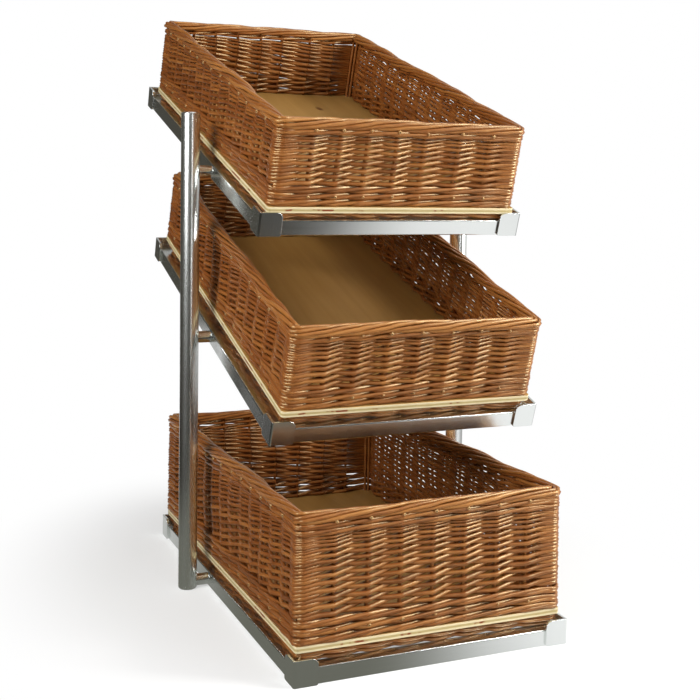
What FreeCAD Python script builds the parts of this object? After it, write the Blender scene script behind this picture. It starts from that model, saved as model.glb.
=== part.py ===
"""Three-tier bakery bread rack with lift-out willow baskets, in millimetres, +Z up.

The origin is on the floor, under the middle of the rack. X runs to the right, Y to the back.
Each tier is drawn flat in its own frame, with its front left at y = 0 and its underside at
z = 0, and is then tilted and set in place.
"""
import FreeCAD
import Part

import math
import os

from FreeCAD import Placement, Rotation, Vector

# Shelf frames
shelfWidth = 360.0          # over the corner lugs
shelfDepth = 600.0          # over the corner lugs, along the shelf
railHeight = 20.0
railDepth = 20.0
railWall = 1.5
railEdgeRadius = 1.5
lugThickness = 3.0
lugWing = 30.0
lugHeight = 31.0
lugBendRadius = 2.5
lugTopRadius = 8.0
lugFootRadius = 3.0

# Where the tiers stand: front of the shelf, height of its front, and its tilt in degrees
tiers = {
    "top": {"front": 144.0, "height": 497.0, "tilt": 18.0},
    "middle": {"front": 92.0, "height": 254.0, "tilt": 18.0},
    "bottom": {"front": 0.0, "height": 0.0, "tilt": 0.0},
}

# Uprights and the stubs that carry the shelves
uprightRadius = 12.7
uprightWall = 1.5
uprightHeight = 654.0
uprightSetback = 352.0      # behind the front of the bottom shelf
uprightGap = 16.3           # between upright and shelf rail
capThickness = 4.0
capEdgeRadius = 3.0
stubRadius = 8.0

# Baskets
boardThickness = 8.0
boardCornerRadius = 5.0
boardEdgeRadius = 0.8
wallThickness = 12.0        # over the rods that pass in front of and behind a stake
wallCornerRadius = 8.0
endStakes = 7               # stakes between the corner posts of a front or rear wall
sideStakes = 13             # stakes between the corner posts of a side wall
cornerSpacing = 31.0        # corner to the first stake
cornerPostWidth = 10.0      # corner to where the weave starts to sink
stakeRibWidth = 6.0         # weave at full thickness over each stake
weaveRelief = 3.8           # how far the weave sinks between stakes, on each face
footBandHeight = 24.0       # the closely twined rows at the foot of a wall
footInset = 6.0             # foot border in from the edge of the board
footWidth = 10.0
footCornerRadius = 9.0
rimOverhang = 2.0           # border past the outside of the wall
rimWidth = 17.0
rimHeight = 14.0
rimRoundRadius = 5.5
restClearance = 0.3         # a tilted board to the front lugs that it lies against

# The play of each board between the lugs (both sides, and front to rear in all), the height of
# the basket from under the board to the rim, how high its foot border lifts the board, how far
# the wicker stands in from the edge of the board, and the closely twined rows under the rim
baskets = {
    "top": {
        "sideGap": 7.0, "lengthPlay": 16.0, "height": 117.0, "footHeight": 9.0,
        "wallInset": 5.0, "rimBandHeight": 10.0,
    },
    "middle": {
        "sideGap": 8.5, "lengthPlay": 16.0, "height": 114.0, "footHeight": 15.0,
        "wallInset": 3.5, "rimBandHeight": 10.0,
    },
    "bottom": {
        "sideGap": 2.5, "lengthPlay": 14.0, "height": 160.0, "footHeight": 15.0,
        "wallInset": 3.0, "rimBandHeight": 17.0,
    },
}

# Sizes that follow from the ones above
frameWidth = shelfWidth - 2 * lugThickness
frameDepth = shelfDepth - 2 * lugThickness
uprightX = frameWidth / 2 + uprightGap + uprightRadius
overallDepth = max(
    tier["front"] + shelfDepth * math.cos(math.radians(tier["tilt"])) for tier in tiers.values()
)
originY = -overallDepth / 2


def roundedBlock(width, depth, height, corner):
    """A block centred on x = 0 from y = 0 and z = 0, with its upright edges rounded."""
    block = Part.makeBox(width, depth, height, Vector(-width / 2, 0, 0))
    upright = [edge for edge in block.Edges if abs(edge.BoundBox.ZLength - height) < 1e-6]
    return block.makeFillet(corner, upright)


def roundedRing(width, depth, height, band, corner):
    """A rectangular ring of one band width, rounded at its corners inside and out."""
    outer = roundedBlock(width, depth, height, corner)
    innerCorner = max(corner - band, 1.0)
    inner = roundedBlock(width - 2 * band, depth - 2 * band, height, innerCorner)
    inner.translate(Vector(0, band, 0))
    return outer.cut(inner)


def levelEdges(shape, level):
    """The edges of a shape that lie wholly at one height."""
    found = []
    for edge in shape.Edges:
        box = edge.BoundBox
        if abs(box.ZMin - level) < 1e-6 and abs(box.ZMax - level) < 1e-6:
            found.append(edge)
    return found


def mitreSplit(ring, width, depth, band, height):
    """Cuts a rectangular ring at 45 degrees in its corners, into its four sides."""
    x, y = width / 2, depth
    corners = {
        "front": [(-x, 0), (x, 0), (x - band, band), (band - x, band)],
        "rear": [(-x, y), (band - x, y - band), (x - band, y - band), (x, y)],
        "left": [(-x, 0), (band - x, band), (band - x, y - band), (-x, y)],
        "right": [(x, 0), (x, y), (x - band, y - band), (x - band, band)],
    }
    sides = {}
    for side, points in corners.items():
        outline = [Vector(px, py, 0) for px, py in points]
        wedge = Part.Face(Part.makePolygon(outline + outline[:1])).extrude(Vector(0, 0, height))
        sides[side] = ring.common(wedge)
    return sides


def shelfRails():
    """Four mitred lengths of square tube, in the frame's own place inside the lugs."""
    ring = roundedRing(frameWidth, frameDepth, railHeight, railDepth, railEdgeRadius)
    ring = ring.makeFillet(railEdgeRadius, levelEdges(ring, 0) + levelEdges(ring, railHeight))
    boreBand = railDepth - 2 * railWall
    bore = roundedRing(
        frameWidth - 2 * railWall, frameDepth - 2 * railWall, railHeight - 2 * railWall, boreBand, 1.0
    )
    bore.translate(Vector(0, railWall, railWall))
    rails = mitreSplit(ring.cut(bore), frameWidth, frameDepth, railDepth, railHeight)
    for rail in rails.values():
        rail.translate(Vector(0, lugThickness, 0))
    return rails


def cornerLug():
    """The bent corner plate for the front left, its outside at x = 0 and y = 0."""
    plate = Part.makeBox(lugWing, lugWing, lugHeight)
    hollow = Part.makeBox(lugWing, lugWing, lugHeight, Vector(lugThickness, lugThickness, 0))
    plate = plate.cut(hollow)
    bend = []
    topCorners = []
    footCorners = []
    for edge in plate.Edges:
        box = edge.BoundBox
        isUpright = box.ZLength > lugHeight / 2
        if isUpright and box.XMax < 1e-6 and box.YMax < 1e-6:
            bend.append(edge)
        atWingEnd = box.XMin > lugWing - 1e-6 or box.YMin > lugWing - 1e-6
        if atWingEnd and box.ZLength < 1e-6:
            (topCorners if box.ZMin > lugHeight / 2 else footCorners).append(edge)
    plate = plate.makeFillet(lugBendRadius, bend)
    plate = plate.makeFillet(lugTopRadius, matchingEdges(plate, topCorners))
    return plate.makeFillet(lugFootRadius, matchingEdges(plate, footCorners))


def matchingEdges(shape, wanted):
    """The edges of a shape that run between the same ends as the wanted ones."""
    found = []
    for edge in shape.Edges:
        for old in wanted:
            if edge.CenterOfMass.distanceToPoint(old.CenterOfMass) < 1e-4:
                found.append(edge)
    return found


def shelfLugs():
    """The lug of the front left corner, and its mirror images at the other three."""
    frontLeft = cornerLug()
    frontLeft.translate(Vector(-shelfWidth / 2, 0, 0))
    middle = Vector(0, shelfDepth / 2, 0)
    rearLeft = frontLeft.mirror(middle, Vector(0, 1, 0))
    return {
        "front_left": frontLeft,
        "rear_left": rearLeft,
        "front_right": frontLeft.mirror(middle, Vector(1, 0, 0)),
        "rear_right": rearLeft.mirror(middle, Vector(1, 0, 0)),
    }


def tierPlacement(tier):
    """Where a tier's own frame goes: tilted about its front edge and set at its height."""
    base = Vector(0, originY + tier["front"], tier["height"])
    return Placement(base, Rotation(Vector(1, 0, 0), tier["tilt"]))


def stubHeight(tier):
    """The height at which the middle line of the side rail passes the uprights."""
    tilt = math.radians(tier["tilt"])
    middle = railHeight / 2
    along = (uprightSetback - tier["front"] + middle * math.sin(tilt)) / math.cos(tilt)
    return tier["height"] + along * math.sin(tilt) + middle * math.cos(tilt)


def uprightAxisY():
    return originY + uprightSetback


def uprightPieces(sign):
    """A round tube standing on the floor, with a domed cap at each end."""
    x = sign * uprightX
    y = uprightAxisY()
    tubeFoot = Vector(x, y, capThickness)
    tubeLength = uprightHeight - 2 * capThickness
    tube = Part.makeCylinder(uprightRadius, tubeLength, tubeFoot)
    tube = tube.cut(Part.makeCylinder(uprightRadius - uprightWall, tubeLength, tubeFoot))
    footCap = Part.makeCylinder(uprightRadius, capThickness, Vector(x, y, 0))
    footCap = footCap.makeFillet(capEdgeRadius, levelEdges(footCap, 0))
    capFoot = Vector(x, y, uprightHeight - capThickness)
    topCap = Part.makeCylinder(uprightRadius, capThickness, capFoot)
    topCap = topCap.makeFillet(capEdgeRadius, levelEdges(topCap, uprightHeight))
    return tube, topCap, footCap


def stub(sign, tier):
    """A round bar from the outside of the side rail to the upright, coped to fit round it."""
    start = Vector(sign * frameWidth / 2, uprightAxisY(), stubHeight(tier))
    bar = Part.makeCylinder(stubRadius, uprightX - frameWidth / 2, start, Vector(sign, 0, 0))
    saddle = Part.makeCylinder(
        uprightRadius, 4 * stubRadius, Vector(sign * uprightX, start.y, start.z - 2 * stubRadius)
    )
    return bar.cut(saddle)


def stakePlaces(length, count):
    """Where the stakes of a wall stand, along it from one outside corner."""
    spacing = (length - 2 * cornerSpacing) / (count - 1)
    return [cornerSpacing + index * spacing for index in range(count)]


def weaveHollows(corner, along, inward, length, count, foot, height):
    """Upright cutters for the shallow hollows between stakes, on both faces of one wall."""
    rib = stakeRibWidth / 2
    edges = [cornerPostWidth - rib] + stakePlaces(length, count) + [length - cornerPostWidth + rib]
    cutters = []
    for start, end in zip(edges, edges[1:]):
        halfChord = (end - start) / 2 - rib
        depth = min(weaveRelief, halfChord / 2)
        radius = (halfChord ** 2 + depth ** 2) / (2 * depth)
        middle = corner + along * ((start + end) / 2) + Vector(0, 0, foot)
        for place in (middle - inward * (radius - depth), middle + inward * (wallThickness + radius - depth)):
            cutters.append(Part.makeCylinder(radius, height, place))
    return cutters


def wovenWalls(width, depth, height, rimBand):
    """Four mitred walls whose faces sink between the stakes, but not in the bands at foot and rim."""
    weave = roundedRing(width, depth, height, wallThickness, wallCornerRadius)
    walls = mitreSplit(weave, width, depth, wallThickness, height)
    x = width / 2
    runs = {
        "front": (Vector(-x, 0, 0), Vector(1, 0, 0), Vector(0, 1, 0), width, endStakes),
        "rear": (Vector(-x, depth, 0), Vector(1, 0, 0), Vector(0, -1, 0), width, endStakes),
        "left": (Vector(-x, 0, 0), Vector(0, 1, 0), Vector(1, 0, 0), depth, sideStakes),
        "right": (Vector(x, 0, 0), Vector(0, 1, 0), Vector(-1, 0, 0), depth, sideStakes),
    }
    openHeight = height - footBandHeight - rimBand
    for side, (corner, along, inward, length, count) in runs.items():
        hollows = weaveHollows(corner, along, inward, length, count, footBandHeight, openHeight)
        walls[side] = walls[side].cut(hollows)
    return walls


def basketPieces(basket, tier):
    """Board, foot border, four woven walls and rolled border, in the frame of the tier."""
    boardWidth = frameWidth - 2 * basket["sideGap"]
    boardDepth = frameDepth - basket["lengthPlay"]
    frontGap = restClearance if tier["tilt"] > 0 else basket["lengthPlay"] / 2
    front = lugThickness + frontGap
    boardFoot = railHeight + basket["footHeight"]
    boardTop = boardFoot + boardThickness
    rimTop = boardFoot + basket["height"]
    wallHeight = rimTop - rimHeight - boardTop

    board = roundedBlock(boardWidth, boardDepth, boardThickness, boardCornerRadius)
    board = board.makeFillet(boardEdgeRadius, levelEdges(board, 0) + levelEdges(board, boardThickness))
    board.translate(Vector(0, front, boardFoot))

    footBorder = roundedRing(
        boardWidth - 2 * footInset, boardDepth - 2 * footInset, basket["footHeight"],
        footWidth, footCornerRadius,
    )
    footBorder.translate(Vector(0, front + footInset, railHeight))

    wallInset = basket["wallInset"]
    wallWidth = boardWidth - 2 * wallInset
    wallDepth = boardDepth - 2 * wallInset
    walls = wovenWalls(wallWidth, wallDepth, wallHeight, basket["rimBandHeight"])
    for wall in walls.values():
        wall.translate(Vector(0, front + wallInset, boardTop))

    rim = roundedRing(
        wallWidth + 2 * rimOverhang, wallDepth + 2 * rimOverhang, rimHeight,
        rimWidth, wallCornerRadius + rimOverhang,
    )
    rim = rim.makeFillet(rimRoundRadius, levelEdges(rim, rimHeight))
    rim.translate(Vector(0, front + wallInset - rimOverhang, rimTop - rimHeight))

    pieces = {"base_board": board, "foot_border": footBorder, "rim_border": rim}
    for side, wall in walls.items():
        pieces["wall_" + side] = wall
    return pieces


def buildRack():
    """Every piece by its node name, all in place."""
    nodes = {}
    for side, sign in (("left", -1), ("right", 1)):
        tube, topCap, footCap = uprightPieces(sign)
        nodes["upright_" + side] = tube
        nodes["upright_" + side + "_top_cap"] = topCap
        nodes["upright_" + side + "_foot_cap"] = footCap
        for tierName, tier in tiers.items():
            nodes[tierName + "_stub_" + side] = stub(sign, tier)
    for tierName, tier in tiers.items():
        flat = {}
        for side, rail in shelfRails().items():
            flat[tierName + "_rail_" + side] = rail
        for corner, lug in shelfLugs().items():
            flat[tierName + "_lug_" + corner] = lug
        for pieceName, piece in basketPieces(baskets[tierName], tier).items():
            flat[tierName + "_basket_" + pieceName] = piece
        for name, shape in flat.items():
            shape.Placement = tierPlacement(tier).multiply(shape.Placement)
            nodes[name] = shape
    return nodes


def main():
    os.makedirs("parts", exist_ok=True)
    for name, shape in buildRack().items():
        if shape.ShapeType == "Compound" and len(shape.Solids) == 1:
            shape = shape.Solids[0]
        if not shape.isValid() or not shape.Solids:
            raise ValueError(name + " is not a valid solid")
        shape.exportStep(os.path.join("parts", name + ".step"))


main()
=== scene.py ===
import math
from functools import partial

import bpy
from mathutils import Matrix, Vector


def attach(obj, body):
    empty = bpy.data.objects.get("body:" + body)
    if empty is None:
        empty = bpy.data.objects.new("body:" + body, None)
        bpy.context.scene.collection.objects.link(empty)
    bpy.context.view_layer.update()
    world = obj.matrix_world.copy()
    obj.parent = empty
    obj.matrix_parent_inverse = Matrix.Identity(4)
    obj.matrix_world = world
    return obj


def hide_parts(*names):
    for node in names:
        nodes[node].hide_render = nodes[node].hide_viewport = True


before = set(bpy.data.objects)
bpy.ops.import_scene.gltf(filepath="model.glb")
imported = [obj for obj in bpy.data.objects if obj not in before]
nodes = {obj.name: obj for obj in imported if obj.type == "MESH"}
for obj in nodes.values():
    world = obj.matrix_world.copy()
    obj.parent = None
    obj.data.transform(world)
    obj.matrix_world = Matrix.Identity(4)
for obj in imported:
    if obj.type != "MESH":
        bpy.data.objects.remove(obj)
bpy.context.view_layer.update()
scene = bpy.context.scene
mm = 0.001
white = (1, 1, 1, 1)
print("rack loaded:", len(nodes), "solid pieces")


def linear(hexColour):
    # sRGB hex to the linear colour that the shaders work in
    channels = []
    for start in (1, 3, 5):
        value = int(hexColour[start:start + 2], 16) / 255
        channels.append(value / 12.92 if value <= 0.04045 else ((value + 0.055) / 1.055) ** 2.4)
    return (*channels, 1.0)


def addNode(tree, kind, links=None, **settings):
    # one node with its settings; links gives each input a value, a socket or a node, which
    # stands for the first of its outputs that is in use
    node = tree.nodes.new(kind)
    for name, value in settings.items():
        setattr(node, name, value)
    for key, value in (links or {}).items():
        if isinstance(value, bpy.types.Node):
            value = next(output for output in value.outputs if output.enabled)
        if isinstance(value, bpy.types.NodeSocket):
            tree.links.new(value, node.inputs[key])
        else:
            node.inputs[key].default_value = value
    return node


def newMaterial(name):
    # an empty material, and addNode for its tree
    material = bpy.data.materials.new(name)
    material.use_nodes = True
    material.node_tree.nodes.clear()
    return material, partial(addNode, material.node_tree)


def perMetre(*sizes):
    # the scale of a pattern whose marks have these sizes in mm
    return tuple(1000 / size for size in sizes)


def dressNodes(material, names):
    # gives solid pieces a better material through their slots
    for name in names:
        data = nodes[name].data
        if not data.materials:
            data.materials.append(material)
        for slot in nodes[name].material_slots:
            slot.material = material


# front edge, height and tilt of each tier, mm and degrees
tiers = {
    "top": {"front": 144.0, "height": 497.0, "tilt": 18.0},
    "middle": {"front": 92.0, "height": 254.0, "tilt": 18.0},
    "bottom": {"front": 0.0, "height": 0.0, "tilt": 0.0},
}
shelfDepth = 600.0
rackDepth = tiers["top"]["front"] + shelfDepth * math.cos(math.radians(tiers["top"]["tilt"]))


def tierMatrix(name):
    tier = tiers[name]
    move = Matrix.Translation(Vector((0, tier["front"] - rackDepth / 2, tier["height"])) * mm)
    return move @ Matrix.Rotation(math.radians(tier["tilt"]), 4, "X")


# Willow, peeled, steamed to a warm brown and varnished. Each rod has its own tone, from straw to
# red-brown, with fine lines along it where the bark came off, and a coat of varnish that gives
# the narrow bright line along every bend.
willow = {
    "dark": "#481d08",
    "middle": "#81461a",
    "middleAt": 0.45,         # where the middle colour lies between the dark and the light one
    "light": "#b0763a",
    "toneLow": 0.3,           # the darkest rod's place between those colours,
    "toneSpread": 0.3,        # how much lighter the lightest rod is,
    "blotchSpread": 0.5,      # and how far blotches
    "lineSpread": 0.4,        # and fine lines change it
    "blotches": (70, 160, 160),    # to a metre, along a rod and across it
    "grainLength": 34.0,      # mm along a rod between changes of tone
    "grainWidth": 1.1,        # mm across, as coarse as shows on a 4 mm rod
    "pith": "#b48c58",        # the wood of a cut end, round the dark pith
    "pithInner": 0.7,         # mm from the middle where the pith starts to fade
    "pithOuter": 1.3,         # and where only wood is left
    "roughness": 0.36,
    "roughSpread": 0.16,
    "lineDepth": 0.3,         # mm, and how strongly the light shows it
    "lineStrength": 0.2,
    "gloss": 0.95,
    "varnishIor": 1.56,
    "glossTint": "#fff2bc",
}


def makeWillow():
    material, add = newMaterial("varnishedWillow")
    grain = add("ShaderNodeAttribute", attribute_name="rodGrain").outputs["Vector"]
    tone = add("ShaderNodeAttribute", attribute_name="rodTone").outputs["Fac"]
    cut = add("ShaderNodeAttribute", attribute_name="cutEnd").outputs["Fac"]
    scale = perMetre(willow["grainLength"], willow["grainWidth"], willow["grainWidth"])
    fineAt = add("ShaderNodeVectorMath", {0: grain, 1: scale}, operation="MULTIPLY")
    fine = add("ShaderNodeTexNoise", {
        "Vector": fineAt, "Scale": 1.0, "Detail": 3.0, "Roughness": 0.6})
    blotchAt = add("ShaderNodeVectorMath", {0: grain, 1: willow["blotches"]}, operation="MULTIPLY")
    blotch = add("ShaderNodeTexNoise", {"Vector": blotchAt, "Scale": 1.0, "Detail": 2.0})
    blotched = add("ShaderNodeMath", {
        0: blotch, 1: willow["blotchSpread"], 2: -willow["blotchSpread"] / 2},
        operation="MULTIPLY_ADD")
    mixed = add("ShaderNodeMath", {0: tone, 1: willow["toneSpread"], 2: blotched},
                operation="MULTIPLY_ADD")
    mixed = add("ShaderNodeMath", {0: mixed, 1: willow["toneLow"]}, operation="ADD")
    streak = add("ShaderNodeMath", {0: fine, 1: willow["lineSpread"], 2: -willow["lineSpread"] / 2},
                 operation="MULTIPLY_ADD")
    mixed = add("ShaderNodeMath", {0: mixed, 1: streak}, operation="ADD", use_clamp=True)
    bark = add("ShaderNodeValToRGB", {0: mixed})
    bark.color_ramp.elements[0].color = linear(willow["dark"])
    bark.color_ramp.elements[1].color = linear(willow["light"])
    bark.color_ramp.elements.new(willow["middleAt"]).color = linear(willow["middle"])
    # a cut end shows the pale wood round a dark pith, by the distance from its middle in mm
    across = add("ShaderNodeVectorMath", {0: grain, 1: (0, 1000, 1000)}, operation="MULTIPLY")
    across = add("ShaderNodeVectorMath", {0: across}, operation="LENGTH")
    wood = add("ShaderNodeMapRange", {
        "Value": across, "From Min": willow["pithInner"], "From Max": willow["pithOuter"]})
    ends = add("ShaderNodeMix", {0: wood, 6: linear(willow["dark"]), 7: linear(willow["pith"])},
               data_type="RGBA")
    colour = add("ShaderNodeMix", {0: cut, 6: bark, 7: ends}, data_type="RGBA")
    smoothest = willow["roughness"] - willow["roughSpread"] / 2
    rough = add("ShaderNodeMath", {0: fine, 1: willow["roughSpread"], 2: smoothest},
                operation="MULTIPLY_ADD")
    bump = add("ShaderNodeBump", {
        "Height": fine, "Strength": willow["lineStrength"], "Distance": willow["lineDepth"] * mm})
    shader = add("ShaderNodeBsdfPrincipled", {
        "Base Color": colour, "Roughness": rough, "Normal": bump, "IOR": willow["varnishIor"],
        "Specular IOR Level": willow["gloss"], "Specular Tint": linear(willow["glossTint"])})
    add("ShaderNodeOutputMaterial", {"Surface": shader})
    return material


varnishedWillow = makeWillow()

# Plywood, a three-ply board, sanded and lacquered: broad soft figure and fine pores on the face,
# and on the edge two pale plies with a darker, rougher one between them, broken here and there
# where the inner ply has gaps.
plywood = {
    "thickness": 8.0,
    "face": "#b88e50",
    "faceDark": "#a47a3e",
    "figureSize": (16.0, 260.0, 40.0),    # mm across the face grain, along it and through the ply
    "figureFrom": 0.35,       # the part of the figure's range that the two face colours span
    "figureTo": 1.05,
    "pores": (1400, 120, 1400),    # to a metre, across, along and through
    "poreShare": 0.35,
    "knot": "#5b2c10",
    "knotOuter": 7.0,         # mm across from the middle of the knot to where it fades out
    "knotInner": 2.5,         # and to where it is darkest
    "knotDepth": 0.85,        # share of the knot's colour there
    "faceFrom": 0.7,          # how squarely a surface has to look up or down to count as face,
    "faceTo": 0.95,           # as the cosine of the angle to it
    "edge": "#d0c19a",
    "inner": "#ab9868",
    "innerHalf": 1.3,         # mm, half the inner ply's thickness, and how softly it ends
    "innerBlur": 0.2,
    "wobble": 0.8,            # mm that the inner ply runs up and down
    "wobbles": 60.0,          # to a metre
    "gap": "#7d3f1e",
    "gaps": 26.0,             # to a metre
    "gapFrom": 0.56,          # lower makes more gaps, and longer ones
    "gapTo": 0.6,
    "roughness": 0.42,
    "roughSpread": 0.2,
    "poreDepth": 0.3,         # mm, and how strongly the light shows it
    "poreStrength": 0.2,
    "gloss": 0.25,
}


def makePlywood(tierName, boardFoot, knotPlace):
    material, add = newMaterial("lacqueredPlywood" + tierName.capitalize())
    tilt = math.radians(tiers[tierName]["tilt"])
    boardPlace = tierMatrix(tierName) @ Vector((0, 0, boardFoot * mm))
    objectAt = add("ShaderNodeTexCoord").outputs["Object"]
    local = add("ShaderNodeMapping", {
        "Vector": objectAt, "Location": boardPlace, "Rotation": (tilt, 0, 0)},
        vector_type="TEXTURE")
    height = add("ShaderNodeSeparateXYZ", {0: local}).outputs["Z"]
    # face figure
    figureAt = add("ShaderNodeVectorMath", {0: local, 1: perMetre(*plywood["figureSize"])},
                   operation="MULTIPLY")
    figure = add("ShaderNodeTexNoise", {
        "Vector": figureAt, "Scale": 1.0, "Detail": 5.0, "Roughness": 0.55, "Distortion": 0.6})
    poreAt = add("ShaderNodeVectorMath", {0: local, 1: plywood["pores"]}, operation="MULTIPLY")
    pore = add("ShaderNodeTexNoise", {"Vector": poreAt, "Scale": 1.0, "Detail": 2.0})
    faceMix = add("ShaderNodeMath", {0: pore, 1: plywood["poreShare"], 2: figure},
                  operation="MULTIPLY_ADD")
    faceMix = add("ShaderNodeMapRange", {
        "Value": faceMix, "From Min": plywood["figureFrom"], "From Max": plywood["figureTo"]})
    face = add("ShaderNodeMix", {
        0: faceMix, 6: linear(plywood["faceDark"]), 7: linear(plywood["face"])}, data_type="RGBA")
    # a knot, twice as long as it is wide
    knotMiddle = Vector((*knotPlace, plywood["thickness"])) * mm
    knotAway = add("ShaderNodeVectorMath", {0: local, 1: knotMiddle}, operation="SUBTRACT")
    knotAway = add("ShaderNodeVectorMath", {0: knotAway, 1: perMetre(1, 2, 1)},
                   operation="MULTIPLY")
    knotAway = add("ShaderNodeVectorMath", {0: knotAway}, operation="LENGTH")
    knotMask = add("ShaderNodeMapRange", {
        "Value": knotAway, "From Min": plywood["knotOuter"], "From Max": plywood["knotInner"],
        "To Max": plywood["knotDepth"]}, interpolation_type="SMOOTHSTEP")
    face = add("ShaderNodeMix", {0: knotMask, 6: face, 7: linear(plywood["knot"])},
               data_type="RGBA")
    # edge plies
    wobble = add("ShaderNodeTexNoise", {
        "Vector": local, "Scale": plywood["wobbles"], "Detail": 2.0})
    level = add("ShaderNodeMath", {0: wobble, 1: plywood["wobble"] * mm, 2: height},
                operation="MULTIPLY_ADD")
    middle = (plywood["thickness"] + plywood["wobble"]) / 2
    level = add("ShaderNodeMath", {0: level, 1: -middle * mm}, operation="ADD")
    level = add("ShaderNodeMath", {0: level}, operation="ABSOLUTE")
    innerMask = add("ShaderNodeMapRange", {
        "Value": level, "From Min": (plywood["innerHalf"] + plywood["innerBlur"]) * mm,
        "From Max": (plywood["innerHalf"] - plywood["innerBlur"]) * mm})
    gaps = add("ShaderNodeTexNoise", {
        "Vector": local, "Scale": plywood["gaps"], "Detail": 3.0, "Roughness": 0.7})
    gapMask = add("ShaderNodeMapRange", {
        "Value": gaps, "From Min": plywood["gapFrom"], "From Max": plywood["gapTo"]})
    inner = add("ShaderNodeMix", {
        0: gapMask, 6: linear(plywood["inner"]), 7: linear(plywood["gap"])}, data_type="RGBA")
    edge = add("ShaderNodeMix", {0: innerMask, 6: linear(plywood["edge"]), 7: inner},
               data_type="RGBA")
    # the face is where the surface looks up or down from the board
    normal = add("ShaderNodeNewGeometry").outputs["Normal"]
    upright = Matrix.Rotation(tilt, 3, "X") @ Vector((0, 0, 1))
    facing = add("ShaderNodeVectorMath", {0: normal, 1: upright}, operation="DOT_PRODUCT")
    facing = add("ShaderNodeMath", {0: facing}, operation="ABSOLUTE")
    faceMask = add("ShaderNodeMapRange", {
        "Value": facing, "From Min": plywood["faceFrom"], "From Max": plywood["faceTo"]})
    colour = add("ShaderNodeMix", {0: faceMask, 6: edge, 7: face}, data_type="RGBA")
    smoothest = plywood["roughness"] - plywood["roughSpread"] / 2
    rough = add("ShaderNodeMath", {0: pore, 1: plywood["roughSpread"], 2: smoothest},
                operation="MULTIPLY_ADD")
    bump = add("ShaderNodeBump", {
        "Height": pore, "Strength": plywood["poreStrength"],
        "Distance": plywood["poreDepth"] * mm})
    shader = add("ShaderNodeBsdfPrincipled", {
        "Base Color": colour, "Roughness": rough, "Normal": bump,
        "Specular IOR Level": plywood["gloss"]})
    add("ShaderNodeOutputMaterial", {"Surface": shader})
    return material


# Stainless steel, welded tube and plate, brushed along each length. Fine lines along the length
# break up the reflections across it, and a slow change of roughness keeps the long flat faces
# from looking like one even grey.
steel = {
    "colour": "#eef1ef",
    "roughness": 0.2,
    "lineRoughness": 0.12,    # how much the lines and the slow patches change it
    "patchRoughness": 0.08,
    "lineLength": 90.0,       # mm along the brushing
    "lineWidth": 0.8,         # mm across, coarser than the real 0.1 mm so that it shows
    "lineDepth": 0.2,         # mm, and how strongly the light shows it
    "lineStrength": 0.03,
    "lineShade": 0.965,       # how dark the lines get, of the full colour, over this range
    "shadeFrom": 0.3,
    "shadeTo": 0.7,
    "patches": 9.0,           # to a metre
    "edgeRadius": 0.7,        # mm, the eased edges of tube and plate
    "uprightRoughness": 0.27,
    "lugRoughness": 0.22,
}
xAxis, yAxis, zAxis = 0, 1, 2


def makeSteel(name, brushing, tilt=0.0, roughness=steel["roughness"],
              edgeRadius=steel["edgeRadius"]):
    # brushing is the axis of the lines, in the tilted frame of the tier
    material, add = newMaterial(name)
    objectAt = add("ShaderNodeTexCoord").outputs["Object"]
    turned = add("ShaderNodeMapping", {
        "Vector": objectAt, "Rotation": (math.radians(tilt), 0, 0)}, vector_type="TEXTURE")
    lineSize = [steel["lineWidth"]] * 3
    lineSize[brushing] = steel["lineLength"]
    linesAt = add("ShaderNodeVectorMath", {0: turned, 1: perMetre(*lineSize)},
                  operation="MULTIPLY")
    lines = add("ShaderNodeTexNoise", {
        "Vector": linesAt, "Scale": 1.0, "Detail": 4.0, "Roughness": 0.65})
    patches = add("ShaderNodeTexNoise", {
        "Vector": turned, "Scale": steel["patches"], "Detail": 2.0})
    smoothest = roughness - (steel["lineRoughness"] + steel["patchRoughness"]) / 2
    rough = add("ShaderNodeMath", {0: lines, 1: steel["lineRoughness"], 2: smoothest},
                operation="MULTIPLY_ADD")
    rough = add("ShaderNodeMath", {0: patches, 1: steel["patchRoughness"], 2: rough},
                operation="MULTIPLY_ADD")
    shade = add("ShaderNodeMapRange", {
        "Value": lines, "From Min": steel["shadeFrom"], "From Max": steel["shadeTo"],
        "To Min": steel["lineShade"]})
    colour = add("ShaderNodeVectorMath", {0: linear(steel["colour"])[:3], "Scale": shade},
                 operation="SCALE")
    relief = {
        "Height": lines, "Strength": steel["lineStrength"], "Distance": steel["lineDepth"] * mm}
    if edgeRadius:
        relief["Normal"] = add("ShaderNodeBevel", {"Radius": edgeRadius * mm}, samples=6)
    bump = add("ShaderNodeBump", relief)
    shader = add("ShaderNodeBsdfPrincipled", {
        "Base Color": colour, "Metallic": 1.0, "Roughness": rough, "Normal": bump})
    add("ShaderNodeOutputMaterial", {"Surface": shader})
    return material


steelAcross = makeSteel("brushedSteelAcross", xAxis)
steelUpright = makeSteel("brushedSteelUpright", zAxis, roughness=steel["uprightRoughness"],
                         edgeRadius=0)
dressNodes(steelUpright, [name for name in nodes if name.startswith("upright")])
dressNodes(steelAcross, [name for name in nodes if "_stub_" in name])
for tierName, tier in tiers.items():
    finish = tierName.capitalize()
    steelAlong = makeSteel("brushedSteelAlong" + finish, yAxis, tier["tilt"])
    steelLug = makeSteel("brushedSteelLug" + finish, zAxis, tier["tilt"], steel["lugRoughness"])
    dressNodes(steelAlong, [tierName + "_rail_left", tierName + "_rail_right"])
    dressNodes(steelAcross, [tierName + "_rail_front", tierName + "_rail_rear"])
    dressNodes(steelLug, [name for name in nodes if name.startswith(tierName + "_lug")])
print("steel dressed")


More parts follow.
